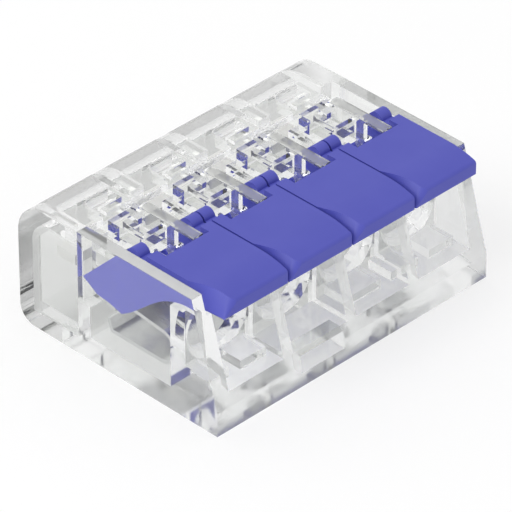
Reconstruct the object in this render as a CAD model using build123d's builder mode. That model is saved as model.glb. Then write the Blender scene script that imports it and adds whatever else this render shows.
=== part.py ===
from build123d import *
import os
from math import sqrt

os.makedirs("parts", exist_ok=True)

# A clear splicing connector with one lever for each wire.
# X runs along the row of wires, -Y is the side where they go in, +Z is up.
# The origin is the middle of the underside. Every size is in millimetres.

# Driving dimensions of the row
poles = 4
pitch = 6.0
end_wall = 0.9
depth = 19.0
height = 9.95

# Front of the housing, where the wires go in
foot_height = 1.9
front_lean = 2.35
sill_height = 2.9
divider = 0.9
bay_depth = 3.6
cross_wall = 1.2
hole_radius = 2.0
hole_lead_in = 0.4
ramp_height = 0.72
ramp_setback = 1.45
lever_shelf = 1.55
pocket_width = 4.1
pocket_depth = 1.5
pocket_low = 1.1
pocket_lip = 0.45

# Floor and chamber of the housing
floor = 1.45
back_stop_reach = 2.0
back_stop = 0.9
low_rib = 0.5
low_rib_height = 3.9

# Cap that closes the back
cap_wall = 0.95
cap_length = 4.95
cap_end_reach = 0.8
cap_floor_setback = 0.9
cap_foot = 1.4
cap_top_radius = 2.65
cap_bottom_radius = 1.3
cap_recess = 0.6
cap_rib = 1.1
cap_gap = 0.05
tongue_gap = 0.1
tongue_play = 0.6
post_play = 0.2
post_chamfer = 1.0
side_skin = 0.3
window_width = 2.05
window_length = 1.35
window_inset = 0.65
window_offset = 0.28
window_play = 0.15
groove_depth = 0.3

# Lever
lever_gap = 0.07
lever_proud = 0.35
plate_thickness = 0.95
plate_bend = 2.55
plate_drop = 0.43
tip_overhang = 0.3
tip_height = 1.0
tip_round = 0.28
arms_length = 2.95
notch_length = 0.85
notch_step = 0.47
notch_bevel = 0.15
rail_gap = 0.5
arm_thickness = 0.95
arm_clearance = 0.1
scoop_width = 2.1
scoop_length = 3.4
scoop_round = 1.1
knuckle_radius = 0.62
knuckle_setback = 1.72
cam_reach = 2.7
plate_flat = 0.3
# Foot of the lever's arm, each point as its distance ahead of and below the hinge
arm_foot = [(-1.35, 1.67), (-0.28, 1.78), (1.0, 2.1)]
# Lower edge of the arm, each point as its distance ahead of and above the hinge
arm_belly = [(3.08, -0.52), (5.06, 1.0), (6.34, 1.52), (7.76, 1.66)]

# Hinge of the lever
hinge_setback = 3.55
hinge_drop = 2.95
pin_radius = 0.8
pin_clearance = 0.05
pin_reach = 0.7
cheek = 0.75

# Test pocket between the cheeks and the rail beside it
tower_drop = 0.23
tower_reach = 0.75
tower_back_reach = 2.45
tower_left = 1.3
tower_wall = 0.6
test_bar = 0.8
test_depth = 1.15
web_offset = 1.05
web_thickness = 0.37
web_lead = 0.7
rail_back_reach = 2.0

# Metal parts
bar_thickness = 0.8
bar_depth = 1.8
bar_inset = 0.4
tongue_width = 2.1
tongue_setback = 1.3
lip_length = 0.8
lip_rise = 0.55
spring_thickness = 0.3
spring_width = 3.2
spring_ear = 1.0
spring_play = 0.03
bow_radius = 1.25
bow_setback = 2.3
heel_setback = 0.6
heel_length = 0.9
knee_setback = 0.9
knee_drop = 2.6
leg_reach = 0.75
leg_drop = 2.15
leg_clearance = 0.15

# Places worked out from the sizes above
width = poles * pitch + 2 * end_wall
bank = poles * pitch / 2
front_y = -depth / 2
back_y = depth / 2
cross_y = front_y + bay_depth
chamber_y = cross_y + cross_wall
cap_y = back_y - cap_length
cap_end_y = cap_y - cap_end_reach
cap_floor_y = cap_y + cap_floor_setback
hinge_y = cap_y - hinge_setback
back_stop_y = hinge_y + back_stop_reach
tower_back_y = hinge_y + tower_back_reach
rail_back_y = hinge_y + rail_back_reach
recess_z = height - cap_recess
shelf_z = height - lever_shelf
hinge_z = height - hinge_drop
tower_z = height - tower_drop
bearing_low = hinge_z - 1.4
hole_z = sill_height + ramp_height + hole_radius
cross_top_z = hole_z + hole_radius + 0.45
cap_inner_z = recess_z - cap_wall + 0.05
hinge = (hinge_y, hinge_z)
centres = [(i - (poles - 1) / 2) * pitch for i in range(poles)]
bounds = [(i - poles / 2) * pitch for i in range(1, poles)]
lever_half = pitch / 2 - lever_gap
arm_inner = lever_half - arm_thickness
cheek_outer = arm_inner - arm_clearance
cheek_inner = cheek_outer - cheek
lever_z = height + lever_proud
tip_low_z = lever_z - plate_drop - tip_height
stop_back_y = back_stop_y + back_stop
tip_y = front_y + tip_overhang
bend_y = tip_y + plate_bend
notch_y = hinge_y - arms_length
plate_back_y = notch_y - notch_length
rail_front_y = plate_back_y + rail_gap
tongue_end = back_y - cap_wall - tongue_play
bar_y = cap_y + 0.05
bar_z = hinge_z - 0.55


# Extrudes a closed outline, drawn in Y and Z, from x0 to x1
def side_slab(outline, x0, x1, mode=Mode.ADD):
    with BuildSketch(Plane.YZ.offset(x0)) as side:
        with BuildLine():
            Polyline(*outline, close=True)
        make_face()
    extrude(side.sketch, amount=x1 - x0, mode=mode)


# Extrudes a closed outline, drawn in X and Y, from z0 to z1
def plan_slab(outline, z0, z1, mode=Mode.ADD):
    with BuildSketch(Plane.XY.offset(z0)) as plan:
        with BuildLine():
            Polyline(*outline, close=True)
        make_face()
    extrude(plan.sketch, amount=z1 - z0, mode=mode)


# Corners of an upright rectangle from its two opposite corners
def corners(a0, b0, a1, b1):
    return [(a0, b0), (a1, b0), (a1, b1), (a0, b1)]


# X places of the two sides of the snap window of one pole
def window_sides(centre):
    right = centre + pitch / 2 - cap_rib - window_offset
    return right - window_width, right


# Outline of a wall that stands inside the cap, from its front edge to the tongue's end
def post_outline(front):
    top = cap_inner_z - post_play
    return [(stop_back_y - 0.1, floor), (stop_back_y - 0.1, low_rib_height), (front, low_rib_height), (front, top),
            (tongue_end - post_chamfer, top), (tongue_end, top - post_chamfer), (tongue_end, floor)]


# Outer side outline of the closed connector, with the rounded back
def outer_outline():
    with BuildSketch(Plane.YZ.offset(-width / 2)) as outline:
        with BuildLine():
            foot = Polyline((back_y - cap_bottom_radius, 0), (front_y, 0), (front_y, foot_height),
                            (front_y + front_lean, height), (back_y - cap_top_radius, height))
            RadiusArc(foot @ 1, (back_y, height - cap_top_radius), cap_top_radius)
            Line((back_y, height - cap_top_radius), (back_y, cap_bottom_radius))
            RadiusArc((back_y, cap_bottom_radius), foot @ 0, cap_bottom_radius)
        make_face()
    return outline.sketch


# Blocks that narrow the bottom of a bay, as pairs of X places from the middle of the pole
ramp_blocks = {
    0: [(-pitch / 2, -1.4), (-0.3, 2.05)],
    1: [],
    2: [(-1.8, 1.0), (2.0, pitch / 2)],
    3: [(-pitch / 2, -1.4), (-0.3, 2.05)],
}


# Bay, wire hole and ramp of one pole, cut into the front block
def cut_entry(index, centre):
    half = (pitch - divider) / 2
    side_slab([(front_y - 1, sill_height), (cross_y, sill_height), (cross_y, height), (front_y - 1, height)],
              centre - half, centre + half, Mode.SUBTRACT)
    for low, high in ramp_blocks.get(index, ramp_blocks[0]):
        side_slab(corners(front_y + ramp_setback, sill_height, cross_y, sill_height + ramp_height),
                  centre + max(low, -half), centre + min(high, half))
    with BuildSketch(Plane.XZ.offset(-cross_y)) as mouth:
        with Locations((centre, hole_z)):
            Circle(hole_radius + hole_lead_in)
    with BuildSketch(Plane.XZ.offset(-cross_y - hole_lead_in)) as throat:
        with Locations((centre, hole_z)):
            Circle(hole_radius)
    loft([mouth.sketch, throat.sketch], mode=Mode.SUBTRACT)
    extrude(throat.sketch, amount=-cross_wall, mode=Mode.SUBTRACT)


# Pocket under a thin lip in the foot of the second pole
def cut_foot_pocket(centre):
    half = pocket_width / 2
    side_slab(corners(front_y - 1, pocket_low, front_y + pocket_depth, sill_height - pocket_lip),
              centre - half, centre + half, Mode.SUBTRACT)


# Tower behind the wire hole: the wire's stop, the two cheeks that carry the lever, the
# test pocket with the rail along its right side and the snap nose for the cap
def add_tower(centre):
    bridge_z = hinge_z + pin_radius + 0.15
    tower_front = hinge_y - tower_reach
    web_front = tower_front - web_lead
    web_left = centre + web_offset
    web_right = web_left + web_thickness
    side_slab(corners(back_stop_y, floor, stop_back_y, shelf_z), centre - cheek_outer, centre + cheek_outer)
    for side in (-1, 1):
        near, far = sorted((side * cheek_inner, side * cheek_outer))
        cheek_outline = [(web_front, bearing_low + 0.5), (web_front + 0.7, bearing_low),
                         (back_stop_y, bearing_low), (back_stop_y, bridge_z + 0.25), (web_front, bridge_z + 0.25)]
        side_slab(cheek_outline, centre + near, centre + far)
    block = [(tower_front, bridge_z), (tower_front, tower_z), (tower_back_y, tower_z), (tower_back_y, shelf_z),
             (stop_back_y, shelf_z), (stop_back_y, bridge_z)]
    side_slab(block, centre - tower_left, web_right)
    side_slab(corners(web_front, bridge_z, rail_back_y, tower_z), web_left, web_right)
    rail_outline = [(rail_front_y, tower_z), (rail_front_y, height), (rail_back_y - 0.2, height),
                    (rail_back_y, height - 0.1), (rail_back_y, tower_z)]
    side_slab(rail_outline, web_left, centre + cheek_outer)
    pocket = corners(centre - tower_left + tower_wall, tower_front + tower_wall - 0.2,
                     web_left, tower_back_y - test_bar)
    plan_slab(pocket, tower_z - test_depth, height + 1, Mode.SUBTRACT)
    window_left, window_right = window_sides(centre)
    arm_low, arm_high = cap_inner_z - 0.85, cap_inner_z - cap_gap
    nose_y = cap_y + window_inset + 0.35
    nose_end = cap_y + window_inset + window_length
    nose_outline = [(stop_back_y - 0.2, arm_low), (nose_end, arm_low), (nose_end, arm_high),
                    (nose_y, recess_z - 0.15), (nose_y, arm_high), (stop_back_y - 0.2, arm_high)]
    side_slab(nose_outline, window_left + window_play, window_right - window_play)
    with BuildSketch(Plane.YZ.offset(centre - pitch / 2)) as bearing:
        with Locations(hinge):
            Circle(pin_radius + pin_clearance)
    extrude(bearing.sketch, amount=pitch, mode=Mode.SUBTRACT)
    window = corners(back_stop_y - 1, bar_z - 0.15, stop_back_y + 1, bar_z + bar_thickness + 0.15)
    side_slab(window, centre - tongue_width / 2 - 0.1, centre + tongue_width / 2 + 0.1, Mode.SUBTRACT)


# Housing with the wire entries, the chamber and the towers
with BuildPart() as housing:
    extrude(outer_outline(), amount=width)
    # The back belongs to the cap
    end_split = [(cap_end_y - cap_gap, cap_foot), (cap_floor_y - cap_gap, cap_foot), (cap_floor_y - cap_gap, -1),
                 (back_y + 1, -1), (back_y + 1, height + 1), (cap_end_y - cap_gap, height + 1)]
    side_slab(end_split, -width / 2 - 1, width / 2 + 1, Mode.SUBTRACT)
    # Chamber for levers and springs, then the shelf that the lever plates lie over
    side_slab(corners(chamber_y, floor, back_y, height + 1), -bank, bank, Mode.SUBTRACT)
    side_slab(corners(front_y - 1, shelf_z, chamber_y + 1, height + 1), -bank, bank, Mode.SUBTRACT)
    side_slab(corners(cross_y, cross_top_z, chamber_y + 1, height + 1), -bank, bank, Mode.SUBTRACT)
    for index, centre in enumerate(centres):
        cut_entry(index, centre)
    cut_foot_pocket(centres[1])
    # Tongue that slides into the cap and low ribs between the poles
    side_slab(corners(cap_floor_y - 1.2, cap_wall + tongue_gap, tongue_end, cap_wall + tongue_gap + 0.8),
              -bank + tongue_gap, bank - tongue_gap)
    side_slab(corners(back_stop_y, floor - 0.1, stop_back_y, low_rib_height), -bank, bank)
    # Side skins that the cap slides over
    for side in (-1, 1):
        near, far = sorted((side * (bank - cap_gap), side * (bank - cap_gap - side_skin)))
        side_slab(post_outline(stop_back_y + cap_gap), near, far)
    for bound in bounds:
        rib = [(chamber_y, floor), (chamber_y, low_rib_height), (back_stop_y, low_rib_height), (back_stop_y, floor)]
        side_slab(rib, bound - low_rib / 2, bound + low_rib / 2)
        side_slab(post_outline(cap_y - 0.1), bound - low_rib / 2, bound + low_rib / 2)
        slot = corners(bar_y - 0.05, bar_z - 0.05, tongue_end + 1, bar_z + bar_thickness + 0.05)
        side_slab(slot, bound - low_rib, bound + low_rib, Mode.SUBTRACT)
    for centre in centres:
        add_tower(centre)


# Cap: a rounded shell, open at the front, with recesses and snap windows in its top
with BuildPart() as rear_cap:
    extrude(outer_outline(), amount=width)
    front_split = [(front_y - 1, -1), (cap_floor_y, -1), (cap_floor_y, cap_foot), (cap_end_y, cap_foot),
                   (cap_end_y, height + 1), (front_y - 1, height + 1)]
    side_slab(front_split, -width / 2 - 1, width / 2 + 1, Mode.SUBTRACT)
    # Hollow, with its back corners rounded inside
    inner_y = back_y - cap_wall
    inner_radius = cap_top_radius - cap_wall
    with BuildSketch(Plane.YZ.offset(-bank)):
        with BuildLine():
            Polyline((inner_y - inner_radius, cap_inner_z), (cap_end_y - 1, cap_inner_z),
                     (cap_end_y - 1, cap_wall), (inner_y, cap_wall), (inner_y, cap_inner_z - inner_radius))
            RadiusArc((inner_y - inner_radius, cap_inner_z), (inner_y, cap_inner_z - inner_radius), inner_radius)
        make_face()
    extrude(amount=2 * bank, mode=Mode.SUBTRACT)
    # The roof starts behind the swing of the levers
    side_slab(corners(cap_end_y - 1, cap_inner_z - 1, cap_y, height + 1), -bank, bank, Mode.SUBTRACT)
    for centre in centres:
        left = centre - pitch / 2 + 0.05
        right = centre + pitch / 2 - cap_rib + 0.05
        side_slab(corners(cap_end_y, recess_z, back_y + 1, height + 1), left, right, Mode.SUBTRACT)
        window_left, window_right = window_sides(centre)
        window_front = cap_y + window_inset
        plan_slab(corners(window_left, window_front, window_right, window_front + window_length),
                  cap_inner_z - 1, height + 1, Mode.SUBTRACT)
        groove_back = window_front + window_length + 0.15
        groove = [(window_left + 0.05, groove_back), (window_left - 0.6, groove_back),
                  (window_left - 1.5, window_front + 0.75), (left, cap_y), (window_left + 0.05, cap_y)]
        plan_slab(groove, recess_z - groove_depth, height + 1, Mode.SUBTRACT)


# Side outline of one lever arm: from the tip over the knuckle, down to the cam and back
# along the lower edge, which runs on under the plate as its side flange
def draw_arm(x_start):
    knuckle_y = hinge_y - knuckle_setback
    knuckle_z = lever_z - knuckle_radius
    step_z = lever_z - notch_step
    knuckle_front = knuckle_y - sqrt(knuckle_radius ** 2 - (step_z - knuckle_z) ** 2)
    slope = knuckle_radius * sqrt(0.5)
    cam_z = knuckle_y + knuckle_z + 2 * slope - hinge_y - cam_reach
    foot = [(hinge_y - ahead, hinge_z - below) for ahead, below in arm_foot]
    belly = [(hinge_y - ahead, hinge_z + above) for ahead, above in arm_belly]
    with BuildSketch(Plane.YZ.offset(x_start)) as arm:
        with BuildLine():
            top = Polyline((tip_y + plate_flat, tip_low_z), (bend_y, lever_z - plate_drop), (bend_y, lever_z),
                           (notch_y, lever_z), (notch_y, step_z), (knuckle_front, step_z))
            crown = ThreePointArc(top @ 1, (knuckle_y, lever_z), (knuckle_y + slope, knuckle_z + slope))
            Polyline(crown @ 1, (hinge_y + cam_reach, cam_z), *foot)
            Spline(foot[-1], *belly)
            Line(belly[-1], top @ 0)
        make_face()
    return arm.sketch


# Outline of the hollow in the lever's front left corner, seen from above. It is drawn at
# the top with its full size and at the bottom edge with none, and lofted between the two.
def draw_scoop(z, left, size, outside):
    start = (left - outside, tip_y + scoop_length)
    rounding = (left - outside + size * scoop_round, tip_y - outside + (size + 0.1) * scoop_round * 0.7)
    front = (left - outside + (size + 0.05) * scoop_width, tip_y - outside)
    with BuildSketch(Plane.XY.offset(z)) as scoop:
        with BuildLine():
            Line(start, rounding)
            corner = TangentArc(front, rounding, tangent=(-1, 0))
            Polyline(corner @ 0, (front[0], tip_y - 0.5), (left - 0.5, tip_y - 0.5),
                     (left - 0.5, tip_y + scoop_length), start)
        make_face()
    return scoop.sketch


# Lever: a plate over the wire entry and two arms with pins that turn in the cheeks
def make_lever(centre):
    under_z = lever_z - plate_thickness
    left = centre - lever_half
    with BuildPart() as lever:
        with BuildSketch(Plane.YZ.offset(left)):
            with BuildLine():
                crest = TangentArc((bend_y, lever_z), (tip_y, lever_z - plate_drop), tangent=(-1, 0))
                Polyline(crest @ 1, (tip_y, tip_low_z), (tip_y + plate_flat, tip_low_z), (bend_y, under_z),
                         (plate_back_y - notch_bevel, under_z), (plate_back_y, lever_z), crest @ 0)
            make_face()
        extrude(amount=2 * lever_half)
        tip_edges = lever.edges().filter_by(Axis.X).group_by(Axis.Y)[0]
        fillet(tip_edges.sort_by(Axis.Z)[-1], radius=tip_round)
        for side in (-1, 1):
            near, far = sorted((side * arm_inner, side * lever_half))
            extrude(draw_arm(centre + near), amount=far - near)
            pin_start = centre + side * (arm_inner - pin_reach)
            with BuildSketch(Plane.YZ.offset(pin_start)):
                with Locations(hinge):
                    Circle(pin_radius)
            extrude(amount=side * (pin_reach + 0.1))
        low = draw_scoop(tip_low_z, left, 0, 0.02)
        high = draw_scoop(lever_z + 0.1, left, 1, 0)
        loft([low, high], ruled=True, mode=Mode.SUBTRACT)
    return lever.part


# Current bar: a spine behind the levers with one tongue over each wire, bent up at its end
with BuildPart() as busbar:
    side_slab(corners(bar_y, bar_z, bar_y + bar_depth, bar_z + bar_thickness), -bank + bar_inset, bank - bar_inset)
    middle_z = bar_z + bar_thickness / 2
    tongue_bend_y = hinge_y - tongue_setback
    for centre in centres:
        with BuildSketch(Plane.YZ.offset(centre - tongue_width / 2)):
            with BuildLine():
                Polyline((bar_y + bar_thickness, middle_z), (tongue_bend_y, middle_z),
                         (tongue_bend_y - lip_length, middle_z + lip_rise))
            trace(line_width=bar_thickness)
        extrude(amount=tongue_width)


# Clamp spring: a bent strip that presses the wire up against the bar. Its leg is narrower
# above the bend, where it passes between the cheeks, and has an ear under each lever arm.
def make_spring(centre):
    half = spring_thickness / 2
    base_z = floor + spring_play + half
    heel_y = back_stop_y - heel_setback
    bow_y = chamber_y + bow_setback
    bow_top = base_z + 2 * bow_radius
    knee = (hinge_y - knee_setback, hinge_z - knee_drop)
    bend = (hinge_y + leg_reach, hinge_z - leg_drop)
    leg_half = cheek_inner - leg_clearance
    with BuildPart() as spring:
        with BuildSketch(Plane.YZ.offset(centre - spring_width / 2)):
            with BuildLine():
                base = Polyline((heel_y + heel_length / 3, base_z + heel_length), (heel_y, base_z), (bow_y, base_z))
                bow = ThreePointArc(base @ 1, (bow_y - bow_radius, base_z + bow_radius), (bow_y, bow_top))
                Polyline(bow @ 1, knee, bend)
            trace(line_width=spring_thickness)
        extrude(amount=spring_width)
        with BuildSketch(Plane.YZ.offset(centre - leg_half)):
            with BuildLine():
                Line(bend, (bend[0] + leg_reach, bar_z - half - 2 * spring_play))
            trace(line_width=spring_thickness)
        extrude(amount=2 * leg_half)
        with BuildSketch(Plane.YZ.offset(centre - spring_width / 2 - spring_ear)):
            with BuildLine():
                Line(((knee[0] + bend[0]) / 2, (knee[1] + bend[1]) / 2), bend)
            trace(line_width=spring_thickness)
        extrude(amount=spring_width + 2 * spring_ear)
    return spring.part


housing.part.label = "housing"
export_step(housing.part, "parts/housing.step")
rear_cap.part.label = "rear_cap"
export_step(rear_cap.part, "parts/rear_cap.step")
busbar.part.label = "busbar"
export_step(busbar.part, "parts/busbar.step")
for number, centre in enumerate(centres, start=1):
    lever_part = make_lever(centre)
    lever_part.label = f"lever_{number}"
    export_step(lever_part, f"parts/lever_{number}.step")
    spring_part = make_spring(centre)
    spring_part.label = f"clamp_spring_{number}"
    export_step(spring_part, f"parts/clamp_spring_{number}.step")
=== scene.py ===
import math

import bpy
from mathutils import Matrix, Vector

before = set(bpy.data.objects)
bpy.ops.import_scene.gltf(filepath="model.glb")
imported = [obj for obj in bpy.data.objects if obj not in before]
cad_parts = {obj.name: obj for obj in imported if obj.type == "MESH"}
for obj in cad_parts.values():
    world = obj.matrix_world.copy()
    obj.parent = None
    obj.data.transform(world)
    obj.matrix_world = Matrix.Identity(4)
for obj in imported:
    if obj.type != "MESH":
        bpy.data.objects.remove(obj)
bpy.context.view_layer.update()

MM = 0.001
WHITE = (1, 1, 1, 1)

# Camera, fitted to the outline in the photograph. Its azimuth is in degrees from the front (-Y)
# round to the left (-X), and the focal length is in pixels of a picture IMAGE_SIZE wide.
IMAGE_SIZE = 512
CAMERA_AZIMUTH = 44.877
CAMERA_ELEVATION = 35.177
CAMERA_DISTANCE = 360.914 * MM
CAMERA_TARGET = Vector((-1.506, -1.652, 5.0)) * MM
FOCAL_PIXELS = 5364.2
SENSOR_WIDTH = 36.0
CLIP_START = 0.01
CLIP_END = 10.0

# Clear plastic. A tint is the light that gets through a surface, and a noise is given by its scale
# and detail. After REAL_BOUNCES bounces light isn't bent any more: it goes straight on, by a tint
# between the deep tint and DEEP_LIGHT that drifts from place to place.
CLEAR_TINT = (0.86, 0.866, 0.86)
CLEAR_IOR = 1.49
LAMP_TINT = (0.985, 0.988, 0.988)
REAL_BOUNCES = 3.5
HOUSING_DEEP_TINT = (0.975, 0.98, 0.975)
CAP_DEEP_TINT = (0.975, 0.977, 0.975)
DEEP_LIGHT = (0.99, 0.99, 0.99)
DRIFT_NOISE = (420.0, 0.0)
HOUSING_ROUGHNESS = 0.0
CAP_ROUGHNESS = 0.01

# Satin underside of the clear plastic, SATIN_HEIGHT deep
SATIN_HEIGHT = 0.1 * MM
SATIN_ROUGHNESS = 0.1
SATIN_MIST = 0.13

# Mist is the share of light that the clear plastic scatters, a white diffuse mixed into the glass.
# It lies on the housing's top edges, thinly in the cap, and thicker in the last CAP_BACK_DEPTH
# before the cap's back. Its colour changes between the two heights TONE_LOW and TONE_HIGH, and
# where it is grey it is painted shade: grey on the housing's top edges, and dark grey low down in
# the cap and on the lower side of the cap's rounded back.
MIST_WHITE = (0.97, 0.975, 0.97)
# Painted shade: the grey that the mist takes on the housing's top edges
RIM_SHADE_GREY = (0.40, 0.405, 0.40)
# Painted shade: the dark grey that the mist takes low down in the cap
CAP_SHADE_GREY = (0.12, 0.121, 0.12)
TONE_LOW = 6.8 * MM
TONE_HIGH = 8.6 * MM
# The housing's top faces at RIM_HEIGHT and above take the next share of grey mist, a painted shade
RIM_HEIGHT = 9.95 * MM
RIM_SHADE_SHARE = 0.55
CAP_MIST = 0.03
# The thicker mist at the cap's back is white high up and dark grey lower down its rounded back,
# where it is painted shade
CAP_BACK = 9.5 * MM
CAP_BACK_DEPTH = 1.9 * MM
CAP_BACK_MIST = 0.16

# Blue plastic of the levers
LEVER_BLUE = (0.077, 0.084, 0.455)
LEVER_BLUE_DEEP = (0.068, 0.075, 0.42)
LEVER_IOR = 1.45
LEVER_ROUGHNESS = (0.42, 0.55)
MOTTLE_NOISE = (380.0, 3.0)
GRAIN_NOISE = (9000.0, 2.0)
GRAIN_STRENGTH = 0.10

# Metal strips. A factor of 0.1 draws the noise out into lines along that axis.
TIN = (0.93, 0.925, 0.91)
TIN_ROUGHNESS = 0.45
TIN_STRETCH = (0.1, 1.0, 1.0)
STEEL = (0.68, 0.685, 0.69)
STEEL_ROUGHNESS = 0.25
STEEL_STRETCH = (1.0, 0.1, 0.1)
ROUGHNESS_SPREAD = 0.08
LINE_NOISE = (1200.0, 2.0)
LINE_STRENGTH = 0.08

# Depth of the grain and of the lines
BUMP_DEPTH = 0.02 * MM

# Floor, just under the part, and studio light
FLOOR_SIZE = 3.0
FLOOR_GAP = 0.08 * MM
FLOOR_WHITE = (0.96, 0.96, 0.96)
FLOOR_GLOW = 0.65
BACKDROP_LIGHT = 1.0
WORLD_LIGHT = 0.80
LAMP_PLACE = Vector((-0.38, 0.05, 0.38))
LAMP_SIZE = 0.30
LAMP_POWER = 1.15


def new_material(name):
    material = bpy.data.materials.new(name)
    material.use_nodes = True
    material.node_tree.nodes.clear()
    return material, material.node_tree.nodes, material.node_tree.links


def finish_material(material, nodes, links, shader):
    output = nodes.new("ShaderNodeOutputMaterial")
    links.new(shader, output.inputs["Surface"])
    return material


def object_coordinates(nodes, links, stretch=(1.0, 1.0, 1.0)):
    coordinates = nodes.new("ShaderNodeTexCoord")
    mapping = nodes.new("ShaderNodeMapping")
    mapping.inputs["Scale"].default_value = stretch
    links.new(coordinates.outputs["Object"], mapping.inputs["Vector"])
    return mapping.outputs["Vector"]


def noise(nodes, links, vector, scale, detail):
    texture = nodes.new("ShaderNodeTexNoise")
    texture.inputs["Scale"].default_value = scale
    texture.inputs["Detail"].default_value = detail
    links.new(vector, texture.inputs["Vector"])
    return texture.outputs["Fac"]


# Turns a value between start and end into one between low and high
def remap(nodes, links, value, low, high, start=0.0, end=1.0):
    node = nodes.new("ShaderNodeMapRange")
    node.inputs["From Min"].default_value = start
    node.inputs["From Max"].default_value = end
    node.inputs["To Min"].default_value = low
    node.inputs["To Max"].default_value = high
    links.new(value, node.inputs["Value"])
    return node.outputs["Result"]


# The first operand is a socket, and the second one is a socket or a number
def calculate(nodes, links, operation, first, second):
    node = nodes.new("ShaderNodeMath")
    node.operation = operation
    links.new(first, node.inputs[0])
    if isinstance(second, float):
        node.inputs[1].default_value = second
    else:
        links.new(second, node.inputs[1])
    return node.outputs[0]


def mix_colours(nodes, links, share, first, second):
    node = nodes.new("ShaderNodeMix")
    node.data_type = "RGBA"
    node.inputs["A"].default_value = (*first, 1)
    node.inputs["B"].default_value = (*second, 1)
    links.new(share, node.inputs["Factor"])
    return node.outputs["Result"]


def mix_shaders(nodes, links, share, first, second):
    node = nodes.new("ShaderNodeMixShader")
    links.new(share, node.inputs[0])
    links.new(first, node.inputs[1])
    links.new(second, node.inputs[2])
    return node.outputs[0]


def bump(nodes, links, height, strength):
    node = nodes.new("ShaderNodeBump")
    node.inputs["Strength"].default_value = strength
    node.inputs["Distance"].default_value = BUMP_DEPTH
    links.new(height, node.inputs["Height"])
    return node.outputs["Normal"]


# Clear moulded polycarbonate: glass with mist. The mist's colours low down and high up are given as
# a pair, and a grey one is painted shade. A veil says how the mist's share changes between two
# places on an axis, and the strongest veil counts. Light goes straight on after a few bounces, and
# light from the lamp does from the start.
def clear_plastic(name, roughness, deep_tint, mist_and_shade_tones, veils):
    material, nodes, links = new_material(name)
    vector = object_coordinates(nodes, links)
    place = nodes.new("ShaderNodeSeparateXYZ")
    links.new(vector, place.inputs["Vector"])
    height = place.outputs["Z"]

    glass = nodes.new("ShaderNodeBsdfPrincipled")
    glass.inputs["Base Color"].default_value = (*CLEAR_TINT, 1)
    glass.inputs["Transmission Weight"].default_value = 1.0
    glass.inputs["IOR"].default_value = CLEAR_IOR
    satin = remap(nodes, links, height, SATIN_ROUGHNESS, roughness, 0.0, SATIN_HEIGHT)
    links.new(satin, glass.inputs["Roughness"])

    layers = [remap(nodes, links, place.outputs[axis], low, high, start, end)
              for axis, start, end, low, high in veils]
    veil = layers[0]
    for layer in layers[1:]:
        veil = calculate(nodes, links, "MAXIMUM", veil, layer)
    # The mist's colour turns by height, and its grey tones paint shade on the housing's top edges
    # and low down in the cap
    mist_and_shade = nodes.new("ShaderNodeBsdfDiffuse")
    rise = remap(nodes, links, height, 0.0, 1.0, TONE_LOW, TONE_HIGH)
    links.new(mix_colours(nodes, links, rise, *mist_and_shade_tones), mist_and_shade.inputs["Color"])

    drift = noise(nodes, links, vector, *DRIFT_NOISE)
    deep_way = nodes.new("ShaderNodeBsdfTransparent")
    links.new(mix_colours(nodes, links, drift, deep_tint, DEEP_LIGHT), deep_way.inputs["Color"])
    lamp_way = nodes.new("ShaderNodeBsdfTransparent")
    lamp_way.inputs["Color"].default_value = (*LAMP_TINT, 1)

    light_path = nodes.new("ShaderNodeLightPath")
    depth = light_path.outputs["Ray Depth"]
    deep = calculate(nodes, links, "GREATER_THAN", depth, REAL_BOUNCES)
    lamp_ray = light_path.outputs["Is Shadow Ray"]
    shader = glass.outputs[0]
    for share, other in ((veil, mist_and_shade), (deep, deep_way), (lamp_ray, lamp_way)):
        shader = mix_shaders(nodes, links, share, shader, other.outputs[0])
    return finish_material(material, nodes, links, shader)


# Blue moulded nylon, a little mottled, with a fine satin grain
def lever_plastic():
    material, nodes, links = new_material("lever_plastic")
    vector = object_coordinates(nodes, links)
    mottle = noise(nodes, links, vector, *MOTTLE_NOISE)
    grain = noise(nodes, links, vector, *GRAIN_NOISE)
    body = nodes.new("ShaderNodeBsdfPrincipled")
    body.inputs["IOR"].default_value = LEVER_IOR
    colour = mix_colours(nodes, links, mottle, LEVER_BLUE, LEVER_BLUE_DEEP)
    links.new(colour, body.inputs["Base Color"])
    links.new(remap(nodes, links, mottle, *LEVER_ROUGHNESS), body.inputs["Roughness"])
    links.new(bump(nodes, links, grain, GRAIN_STRENGTH), body.inputs["Normal"])
    return finish_material(material, nodes, links, body.outputs[0])


# Rolled metal strip, with fine lines along the strip
def strip_metal(name, colour, roughness, stretch):
    material, nodes, links = new_material(name)
    vector = object_coordinates(nodes, links, stretch)
    lines = noise(nodes, links, vector, *LINE_NOISE)
    metal = nodes.new("ShaderNodeBsdfPrincipled")
    metal.inputs["Base Color"].default_value = (*colour, 1)
    metal.inputs["Metallic"].default_value = 1.0
    dull = remap(nodes, links, lines, roughness - ROUGHNESS_SPREAD, roughness + ROUGHNESS_SPREAD)
    links.new(dull, metal.inputs["Roughness"])
    links.new(bump(nodes, links, lines, LINE_STRENGTH), metal.inputs["Normal"])
    return finish_material(material, nodes, links, metal.outputs[0])


def assign(node, material):
    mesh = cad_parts[node].data
    if mesh.materials:
        for slot in range(len(mesh.materials)):
            mesh.materials[slot] = material
    else:
        mesh.materials.append(material)


# 1 where the camera sees a surface directly, in a reflection or through clear plastic, else 0
def seen_by_eye(nodes, links):
    light_path = nodes.new("ShaderNodeLightPath")
    seen = light_path.outputs["Is Camera Ray"]
    for ray in ("Is Glossy Ray", "Is Transmission Ray"):
        seen = calculate(nodes, links, "MAXIMUM", seen, light_path.outputs[ray])
    return seen


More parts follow.
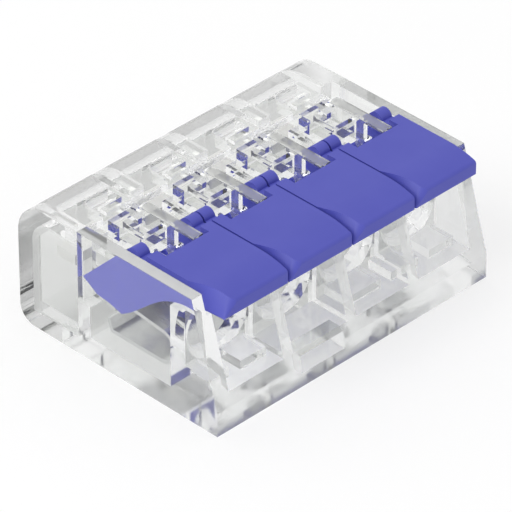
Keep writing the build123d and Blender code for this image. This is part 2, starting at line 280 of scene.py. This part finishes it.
# The glow brings the floor near the backdrop's white. Only the eye sees it, so it lights nothing.
def make_floor():
    bpy.ops.mesh.primitive_plane_add(size=FLOOR_SIZE, location=(0, 0, -FLOOR_GAP))
    floor = bpy.context.object
    floor.name = "floor"
    material, nodes, links = new_material("floor_white")
    diffuse = nodes.new("ShaderNodeBsdfDiffuse")
    diffuse.inputs["Color"].default_value = (*FLOOR_WHITE, 1)
    glow = nodes.new("ShaderNodeEmission")
    glow.inputs["Color"].default_value = WHITE
    glow.inputs["Strength"].default_value = BACKDROP_LIGHT
    share = calculate(nodes, links, "MULTIPLY", seen_by_eye(nodes, links), FLOOR_GLOW)
    shader = mix_shaders(nodes, links, share, diffuse.outputs[0], glow.outputs[0])
    finish_material(material, nodes, links, shader)
    floor.data.materials.append(material)


# White all round: brighter to the eye than as a light on the part
def make_world():
    world = bpy.data.worlds.new("studio")
    bpy.context.scene.world = world
    world.use_nodes = True
    nodes, links = world.node_tree.nodes, world.node_tree.links
    nodes.clear()
    output = nodes.new("ShaderNodeOutputWorld")
    sides = []
    for strength in (WORLD_LIGHT, BACKDROP_LIGHT):
        side = nodes.new("ShaderNodeBackground")
        side.inputs["Color"].default_value = WHITE
        side.inputs["Strength"].default_value = strength
        sides.append(side.outputs[0])
    shader = mix_shaders(nodes, links, seen_by_eye(nodes, links), *sides)
    links.new(shader, output.inputs["Surface"])


def make_lamp():
    data = bpy.data.lights.new("key", "AREA")
    data.shape = "SQUARE"
    data.size = LAMP_SIZE
    data.energy = LAMP_POWER
    lamp = bpy.data.objects.new("key", data)
    bpy.context.scene.collection.objects.link(lamp)
    direction = (CAMERA_TARGET - LAMP_PLACE).normalized()
    lamp.rotation_euler = direction.to_track_quat("-Z", "Y").to_euler()
    lamp.location = LAMP_PLACE


def make_camera():
    azimuth = math.radians(CAMERA_AZIMUTH)
    elevation = math.radians(CAMERA_ELEVATION)
    towards = Vector((-math.sin(azimuth) * math.cos(elevation),
                      -math.cos(azimuth) * math.cos(elevation),
                      math.sin(elevation)))
    data = bpy.data.cameras.new("camera")
    data.sensor_width = SENSOR_WIDTH
    data.lens = FOCAL_PIXELS * SENSOR_WIDTH / IMAGE_SIZE
    data.clip_start = CLIP_START
    data.clip_end = CLIP_END
    camera = bpy.data.objects.new("camera", data)
    bpy.context.scene.collection.objects.link(camera)
    camera.location = CAMERA_TARGET + towards * CAMERA_DISTANCE
    camera.rotation_euler = (-towards).to_track_quat("-Z", "Y").to_euler()
    bpy.context.scene.camera = camera


# Each veil is (axis, start, end, share at start, share at end)
# The housing's second veil lays grey mist on its top edges: painted shade
housing_plastic = clear_plastic(
    "clear_plastic", HOUSING_ROUGHNESS, HOUSING_DEEP_TINT, (MIST_WHITE, RIM_SHADE_GREY),
    [("Z", 0.0, SATIN_HEIGHT, SATIN_MIST, 0.0),
     ("Z", RIM_HEIGHT - SATIN_HEIGHT, RIM_HEIGHT, 0.0, RIM_SHADE_SHARE)])
# The cap's mist is dark grey low down, a painted shade, and white high up
cap_plastic = clear_plastic(
    "clear_plastic_cap", CAP_ROUGHNESS, CAP_DEEP_TINT, (CAP_SHADE_GREY, MIST_WHITE),
    [("Z", 0.0, SATIN_HEIGHT, SATIN_MIST, CAP_MIST),
     ("Y", CAP_BACK - CAP_BACK_DEPTH, CAP_BACK, CAP_MIST, CAP_BACK_MIST)])
lever_blue = lever_plastic()
tinned_copper = strip_metal("tinned_copper", TIN, TIN_ROUGHNESS, TIN_STRETCH)
spring_steel = strip_metal("spring_steel", STEEL, STEEL_ROUGHNESS, STEEL_STRETCH)

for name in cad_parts:
    if name.startswith("lever"):
        assign(name, lever_blue)
    elif name.startswith("clamp_spring"):
        assign(name, spring_steel)
    elif name == "busbar":
        assign(name, tinned_copper)
    elif name == "rear_cap":
        assign(name, cap_plastic)
    else:
        assign(name, housing_plastic)

make_floor()
make_world()
make_lamp()
make_camera()
bpy.context.scene.view_settings.view_transform = "Standard"
